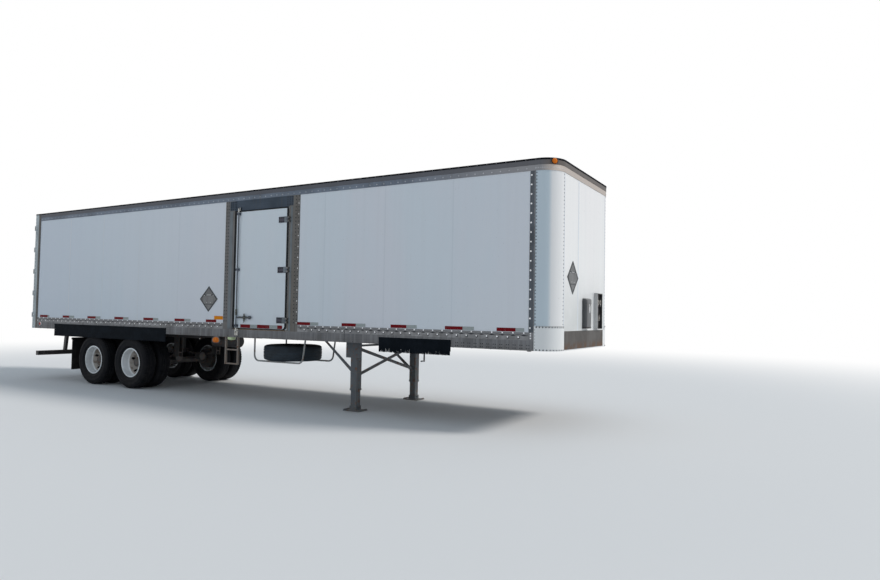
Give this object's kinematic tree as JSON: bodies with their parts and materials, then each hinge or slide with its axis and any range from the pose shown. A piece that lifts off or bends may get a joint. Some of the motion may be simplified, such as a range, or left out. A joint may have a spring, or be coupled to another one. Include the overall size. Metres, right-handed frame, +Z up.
{
  "type": "box semi trailer",
  "caption": "Dry van semi trailer with rounded front corners, tandem dual-tyre axles, side door, rear swing doors, spare wheel and landing gear.",
  "frame": {"origin": "on the ground, under the middle of the whole part's length and width", "axes": "+X towards the kingpin end, +Y towards the side without a door, +Z up"},
  "size_m": [12.906, 2.65, 3.81],
  "materials": {
    "white_paint": "weathered gloss",
    "rail_metal": "mill, weathered",
    "roof_metal": "mill, weathered",
    "black_paint": "worn satin",
    "chassis_paint": "worn, rust spotted",
    "leg_paint": "worn, rust spotted",
    "stainless": "scuffed",
    "zinc_steel": "zinc plated",
    "floor_wood": "laminated hardwood",
    "tyre_rubber": "dusty",
    "wheel_paint": "weathered",
    "drum_iron": "rusted",
    "spring_steel": "rust spotted",
    "kingpin_steel": "greased",
    "flap_rubber": "dusty",
    "brush_black": "matt",
    "box_grey": "satin",
    "coupling_metal": "cast",
    "amber_lens": "gloss",
    "red_lens": "gloss",
    "sign_metal": "mill"
  },
  "bodies": {
    "van": {"floor_beams": "chassis_paint", "bottom_rails": "rail_metal", "floor_deck": "floor_wood", "top_rails": "rail_metal", "roof_sheet": "roof_metal", "roof_edge": "black_paint", "roof_bows": "zinc_steel", "side_panels_left": "white_paint", "side_panels_right": "white_paint", "corner_strips": "rail_metal", "front_corners": "white_paint", "front_wall": "white_paint", "scuff_plate": "stainless", "rear_posts": "rail_metal", "rear_header": "rail_metal", "rear_sill": "rail_metal", "side_door_posts": "rail_metal", "side_door_header": "rail_metal", "axles": "chassis_paint", "leaf_springs": "spring_steel", "frame_rails": "chassis_paint", "frame_cross_beams": "chassis_paint", "mudflaps": "flap_rubber", "rear_guard": "black_paint", "coupler_plate": "chassis_paint", "kingpin": "kingpin_steel", "landing_legs": "leg_paint", "landing_feet": "leg_paint", "landing_braces": "leg_paint", "landing_crank": "leg_paint", "skirts": "brush_black", "side_ladder": "zinc_steel", "spare_carrier": "leg_paint", "spare_tyre": "tyre_rubber", "spare_rim": "wheel_paint", "sign_holders": "sign_metal", "nose_box": "box_grey", "air_couplings": "coupling_metal", "papers_box": "box_grey", "marker_lamps": "amber_lens", "red_lamps": "red_lens", "air_tank": "chassis_paint"},
    "rear_door_left": {"rear_door_left": "white_paint", "rear_lock_left": "zinc_steel"},
    "rear_door_right": {"rear_door_right": "white_paint", "rear_lock_right": "zinc_steel"},
    "side_door": {"side_door": "white_paint", "side_door_lock": "zinc_steel"},
    "wheels_rear_left": {"tyres_rear_left": "tyre_rubber", "rims_rear_left": "wheel_paint", "hub_rear_left": "drum_iron"},
    "wheels_rear_right": {"tyres_rear_right": "tyre_rubber", "rims_rear_right": "wheel_paint", "hub_rear_right": "drum_iron"},
    "wheels_front_left": {"tyres_front_left": "tyre_rubber", "rims_front_left": "wheel_paint", "hub_front_left": "drum_iron"},
    "wheels_front_right": {"tyres_front_right": "tyre_rubber", "rims_front_right": "wheel_paint", "hub_front_right": "drum_iron"}
  },
  "joints": [
    {"name": "wheels_rear_left_turn", "type": "hinge", "parent": "van", "child": "wheels_rear_left", "pos_m": [-4.027, 1.1555, 0.525], "axis": [0, 1, 0], "continuous": true},
    {"name": "wheels_rear_right_turn", "type": "hinge", "parent": "van", "child": "wheels_rear_right", "pos_m": [-4.027, -1.1555, 0.525], "axis": [0, 1, 0], "continuous": true},
    {"name": "wheels_front_left_turn", "type": "hinge", "parent": "van", "child": "wheels_front_left", "pos_m": [-2.757, 1.1555, 0.525], "axis": [0, 1, 0], "continuous": true},
    {"name": "wheels_front_right_turn", "type": "hinge", "parent": "van", "child": "wheels_front_right", "pos_m": [-2.757, -1.1555, 0.525], "axis": [0, 1, 0], "continuous": true},
    {"name": "rear_door_left_swing", "type": "hinge", "parent": "van", "child": "rear_door_left", "pos_m": [-6.439, 1.283, 2.47], "axis": [0, 0, -1], "range_deg": [0, 270]},
    {"name": "rear_door_right_swing", "type": "hinge", "parent": "van", "child": "rear_door_right", "pos_m": [-6.439, -1.283, 2.47], "axis": [0, 0, 1], "range_deg": [0, 270]},
    {"name": "side_door_swing", "type": "hinge", "parent": "van", "child": "side_door", "pos_m": [1.533, -1.313, 2.36], "axis": [0, 0, 1], "range_deg": [0, 180]}
  ]
}
